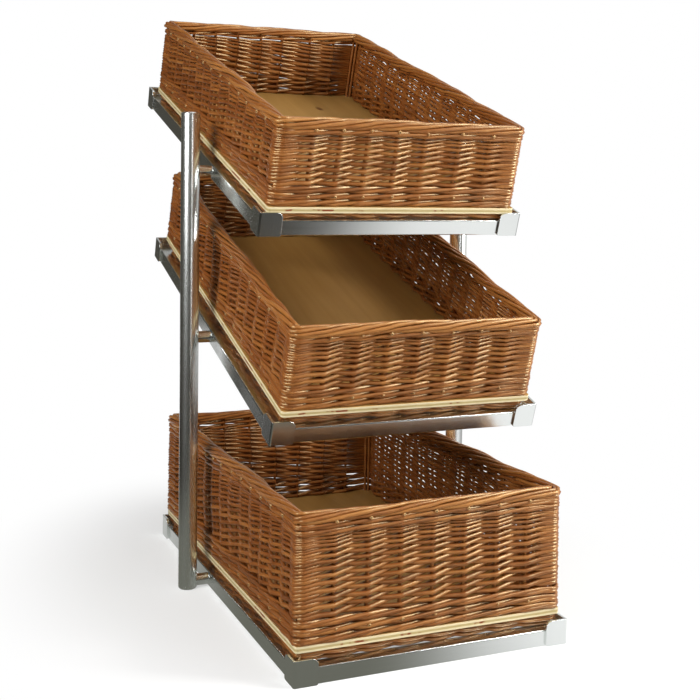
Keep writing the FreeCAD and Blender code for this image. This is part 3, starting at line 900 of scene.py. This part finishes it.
for tierName, basket in baskets.items():
    mesh, stakeCount = makeRing(tierName + "Ring", basket)
    matrix = tierMatrix(tierName)
    body = tierName + "_basket"
    boardTop, rimFoot, waleRise = basket["boardTop"], basket["rimFoot"], basket["waleRise"]
    boardFoot = boardTop - plywood["thickness"]
    waleTop = boardTop + lowerWale["rows"] * waleRise
    upperRise = 2 * (upperWale["swing"] + upperWale["radius"]) - upperWale["pressed"]
    upperDrop = upperRise * (basket["upperWales"] - 0.5)
    ropesBelow = 1 if basket["footHeight"] > footRope["twoFrom"] else 0
    shared = {
        "Stakes": stakeCount, "Steps Per Stake": ring["steps"], "Board Top": boardTop,
        "Hand Play": weave["handPlay"], "Uneven": weave["uneven"], "Material": varnishedWillow}
    plan = {
        "Weave": (weaveTree, {
            "Rows": basket["rows"], "Stakes Per Stroke": weave["passed"], "Reach": weave["reach"],
            "Start Height": waleTop, "First Rise": basket["firstRise"],
            "Last Rise": basket["lastRise"], "Climb": weave["climb"], "Dip": weave["dip"],
            "Swing": 0.0, "Sharpness": weave["sharpness"], "Butt Radius": weave["butt"],
            "Tip Radius": weave["tip"]}),
        "LowerWale": (weaveTree, {
            **flatRows, "Rows": lowerWale["rows"], "Stakes Per Stroke": lowerWale["passed"],
            "Reach": lowerWale["reach"], "Stand Off": lowerWale["standOff"],
            "Start Height":
                boardTop + lowerWale["swing"] + lowerWale["radius"] - lowerWale["pressed"],
            "First Rise": waleRise, "Last Rise": waleRise, "Swing": lowerWale["swing"],
            "Butt Radius": lowerWale["radius"],
            "Tip Radius": lowerWale["radius"] - lowerWale["thinned"]}),
        "UpperWale": (weaveTree, {
            **flatRows, "Rows": basket["upperWales"], "Stakes Per Stroke": upperWale["passed"],
            "Reach": upperWale["reach"],
            "Start Height": rimFoot + upperWale["intoRim"] - upperDrop,
            "First Rise": upperRise, "Last Rise": upperRise, "Swing": upperWale["swing"],
            "Butt Radius": upperWale["radius"], "Tip Radius": upperWale["radius"]}),
        "Border": (borderTree, {
            "Rows": 1, "Stakes Per Stroke": rolledBorder["passed"],
            "Half Width": rolledBorder["halfWidth"], "Half Height": rolledBorder["halfHeight"],
            "Middle Height": rimFoot + rolledBorder["height"] / 2 - rolledBorder["pressed"],
            "Start Turn": rolledBorder["startTurn"], "Whole Turn": rolledBorder["wholeTurn"],
            "Butt Radius": rolledBorder["butt"], "Tip Radius": rolledBorder["tip"],
            "Uneven": rolledBorder["uneven"]}),
        "FootRope": (weaveTree, {
            **flatRows, "Rows": 1 + ropesBelow, "Stakes Per Stroke": footRope["passed"],
            "Reach": footRope["reach"], "Stand Off": -footRope["lean"] * ropesBelow,
            "Lean": footRope["lean"],
            "Start Height": boardFoot - footRope["underBoard"] - footRope["rise"] * ropesBelow,
            "First Rise": footRope["rise"], "Last Rise": footRope["rise"],
            "Swing": -footRope["swing"], "Butt Radius": footRope["radius"],
            "Tip Radius": footRope["radius"]}),
        "Stakes": (stakeTree, {
            "Foot Height": boardFoot + stakes["intoBoard"],
            "Top Height": rimFoot + stakes["intoRim"], "Radius": stakes["radius"]}),
        "UpperEnds": (endTree, {
            "Height": rimFoot + cutEnds["upperHeight"], "Reach": cutEnds["upperReach"]}),
        "LowerEnds": (endTree, {
            "Height": waleTop - waleRise * cutEnds["lowerRows"],
            "Reach": cutEnds["lowerReach"]}),
    }
    pieces = {}
    for number, (label, (tree, values)) in enumerate(plan.items()):
        values = {**shared, **values, "Seed": basket["seed"] + number}
        pieces[label] = layRods(tierName + "Basket" + label, mesh, tree, values, matrix)
    for name, piece in pieces.items():
        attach(piece, body)
        print(piece.name, len(piece.data.polygons), "faces")
    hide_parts(*[body + "_wall_" + side for side in ("front", "rear", "left", "right")])
    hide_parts(body + "_rim_border")
    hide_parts(body + "_foot_border")
    dressNodes(makePlywood(tierName, boardFoot, basket["knot"]), [body + "_base_board"])
    bpy.data.meshes.remove(mesh)
print("baskets woven")

# a pale studio; the steel mirrors it bright to the right, and dim to the left and in front
studio = {
    "floor": "#f2f2f0",
    "floorHalf": 2.6,         # m from the middle to an edge
    "roomLight": 0.1,         # even light from all round
    "dimRoom": "#45433c",     # what the steel sees of the room to the left
    "brightRoom": "#dcdcda",  # and to the right
    "nearFloor": "#6d6d64",   # what it sees of the floor to the left, close by
    "farFloor": "#2b2823",    # and further off
    "toTheRight": (0.94, 0.34, 0.0),
    "awayFromFront": (0.81, 0.58, 0.0),
    # where what it sees goes from dim to bright, in metres along those two lines for the floor
    "roomTurns": (0.1, 0.85),
    "floorTurns": (-0.24, 0.08),
    "frontTurns": (-0.36, -0.14),
    "brightFades": (0.3, 0.8),    # and where the bright floor falls off again, to this share
    "brightEnd": 0.4,
    "nearFades": (0.7, 0.45),     # metres from the middle, from the far floor's colour to the near
    "shadowShape": (1.0, 0.8, 1.0),
    "shadowInner": 0.26,      # m from the middle where the floor's shadow starts to fade to white
    "shadowOuter": 0.52,      # and where only white is left
    "shadowFill": 0.45,       # share of white in the shadow itself
}


def makeFloor():
    material, add = newMaterial("palePaperFloor")
    place = add("ShaderNodeTexCoord").outputs["Object"]
    path = add("ShaderNodeLightPath").outputs
    away = add("ShaderNodeVectorMath", {0: place, 1: studio["shadowShape"]}, operation="MULTIPLY")
    away = add("ShaderNodeVectorMath", {0: away}, operation="LENGTH")
    fade = add("ShaderNodeMapRange", {
        "Value": away, "From Min": studio["shadowInner"], "From Max": studio["shadowOuter"]},
        interpolation_type="SMOOTHSTEP")
    seen = add("ShaderNodeMath", {0: path["Is Camera Ray"], 1: path["Is Transmission Ray"]},
               operation="MAXIMUM")
    fade = add("ShaderNodeMath", {
        0: fade, 1: 1 - studio["shadowFill"], 2: studio["shadowFill"]}, operation="MULTIPLY_ADD")
    share = add("ShaderNodeMath", {0: fade, 1: seen}, operation="MULTIPLY")
    # the steel sees it white to the right, and dim to the left and far in front
    (dimFront, brightFront), (dimFloor, brightFloor) = studio["frontTurns"], studio["floorTurns"]
    (fadeFrom, fadeTo), (nearFrom, nearTo) = studio["brightFades"], studio["nearFades"]
    inward = add("ShaderNodeVectorMath", {0: place, 1: studio["awayFromFront"]},
                 operation="DOT_PRODUCT")
    lit = add("ShaderNodeMapRange", {
        "Value": inward, "From Min": dimFront, "From Max": brightFront},
        interpolation_type="SMOOTHSTEP")
    across = add("ShaderNodeVectorMath", {0: place, 1: studio["toTheRight"]},
                 operation="DOT_PRODUCT")
    lit = add("ShaderNodeMapRange", {
        "Value": across, "From Min": dimFloor, "From Max": brightFloor, "To Max": lit},
        interpolation_type="SMOOTHSTEP")
    bright = add("ShaderNodeMapRange", {
        "Value": across, "From Min": fadeFrom, "From Max": fadeTo, "To Min": 1.0,
        "To Max": studio["brightEnd"]}, interpolation_type="SMOOTHSTEP")
    near = add("ShaderNodeMapRange", {"Value": away, "From Min": nearFrom, "From Max": nearTo})
    dim = add("ShaderNodeMix", {
        0: near, 6: linear(studio["farFloor"]), 7: linear(studio["nearFloor"])},
        data_type="RGBA")
    mirrored = add("ShaderNodeMix", {0: lit, 6: dim, 7: bright}, data_type="RGBA")
    share = add("ShaderNodeMath", {0: share, 1: path["Is Glossy Ray"]}, operation="MAXIMUM")
    colour = add("ShaderNodeMix", {0: path["Is Glossy Ray"], 6: white, 7: mirrored},
                 data_type="RGBA")
    paper = add("ShaderNodeBsdfDiffuse", {"Color": linear(studio["floor"])})
    glow = add("ShaderNodeEmission", {"Color": colour, "Strength": 1.0})
    shader = add("ShaderNodeMixShader", {0: share, 1: paper, 2: glow})
    add("ShaderNodeOutputMaterial", {"Surface": shader})
    half = studio["floorHalf"]
    mesh = bpy.data.meshes.new("floor")
    corners = [(-half, -half, 0), (half, -half, 0), (half, half, 0), (-half, half, 0)]
    mesh.from_pydata(corners, [], [(0, 1, 2, 3)])
    mesh.materials.append(material)
    floor = bpy.data.objects.new("floor", mesh)
    scene.collection.objects.link(floor)


def makeWorld():
    world = bpy.data.worlds.new("studio")
    world.use_nodes = True
    world.node_tree.nodes.clear()
    add = partial(addNode, world.node_tree)
    way = add("ShaderNodeTexCoord").outputs["Generated"]
    path = add("ShaderNodeLightPath").outputs
    side = add("ShaderNodeVectorMath", {0: way, 1: studio["toTheRight"]}, operation="DOT_PRODUCT")
    dimTo, brightFrom = studio["roomTurns"]
    bright = add("ShaderNodeMapRange", {"Value": side, "From Min": dimTo, "From Max": brightFrom},
                 interpolation_type="SMOOTHSTEP")
    mirrored = add("ShaderNodeMix", {
        0: bright, 6: linear(studio["dimRoom"]), 7: linear(studio["brightRoom"])},
        data_type="RGBA")
    plain = [studio["roomLight"]] * 3 + [1.0]
    colour = add("ShaderNodeMix", {0: path["Is Glossy Ray"], 6: plain, 7: mirrored},
                 data_type="RGBA")
    seen = add("ShaderNodeMath", {0: path["Is Camera Ray"], 1: path["Is Transmission Ray"]},
               operation="MAXIMUM")
    colour = add("ShaderNodeMix", {0: seen, 6: colour, 7: white}, data_type="RGBA")
    background = add("ShaderNodeBackground", {"Color": colour, "Strength": 1.0})
    add("ShaderNodeOutputWorld", {"Surface": background})
    scene.world = world


# metres and watts
softboxes = {
    "rightSoftbox": {
        "place": (1.3, -1.05, 1.1), "target": (0, -0.25, 0.5), "size": (0.45, 1.6), "power": 49},
    "leftSoftbox": {
        "place": (-1.5, -0.7, 1.15), "target": (0, 0, 0.45), "size": (0.9, 1.1), "power": 31},
    "frontSoftbox": {
        "place": (0.05, -2.0, 0.8), "target": (-0.2, 0, 0.4), "size": (0.15, 1.5), "power": 3},
    "topSoftbox": {
        "place": (0.3, 0.1, 2.3), "target": (0, 0, 0.4), "size": (1.6, 1.4), "power": 8},
}


def addSoftbox(name, box):
    light = bpy.data.lights.new(name, "AREA")
    light.shape = "RECTANGLE"
    light.size, light.size_y = box["size"]
    light.energy = box["power"]
    lamp = bpy.data.objects.new(name, light)
    lamp.location = box["place"]
    ahead = Vector(box["target"]) - Vector(box["place"])
    lamp.rotation_euler = ahead.to_track_quat("-Z", "Y").to_euler()
    scene.collection.objects.link(lamp)


makeFloor()
makeWorld()
for name, box in softboxes.items():
    addSoftbox(name, box)

# metres and degrees; the lens and its sensor are in mm
view = {
    "lens": 59.45, "sensor": 36.0, "shiftY": -0.130,
    "yaw": 23.1658, "pitch": 4.0623, "roll": -0.9641,
    "place": (-0.6214863, -1.5288322, 0.5707297),
}


def makeCamera():
    yaw, pitch, roll = (math.radians(view[name]) for name in ("yaw", "pitch", "roll"))
    level = math.cos(pitch)
    ahead = Vector((math.sin(yaw) * level, math.cos(yaw) * level, -math.sin(pitch)))
    right = Vector((math.cos(yaw), -math.sin(yaw), 0))
    down = ahead.cross(right)
    turnedRight = right * math.cos(roll) + down * math.sin(roll)
    turnedDown = down * math.cos(roll) - right * math.sin(roll)
    data = bpy.data.cameras.new("camera")
    data.lens, data.sensor_width, data.sensor_fit = view["lens"], view["sensor"], "HORIZONTAL"
    data.shift_y = view["shiftY"]
    camera = bpy.data.objects.new("camera", data)
    camera.matrix_world = Matrix((
        (turnedRight.x, -turnedDown.x, -ahead.x, view["place"][0]),
        (turnedRight.y, -turnedDown.y, -ahead.y, view["place"][1]),
        (turnedRight.z, -turnedDown.z, -ahead.z, view["place"][2]),
        (0, 0, 0, 1)))
    scene.collection.objects.link(camera)
    scene.camera = camera


makeCamera()
scene.view_settings.view_transform = "Standard"
print("studio set")
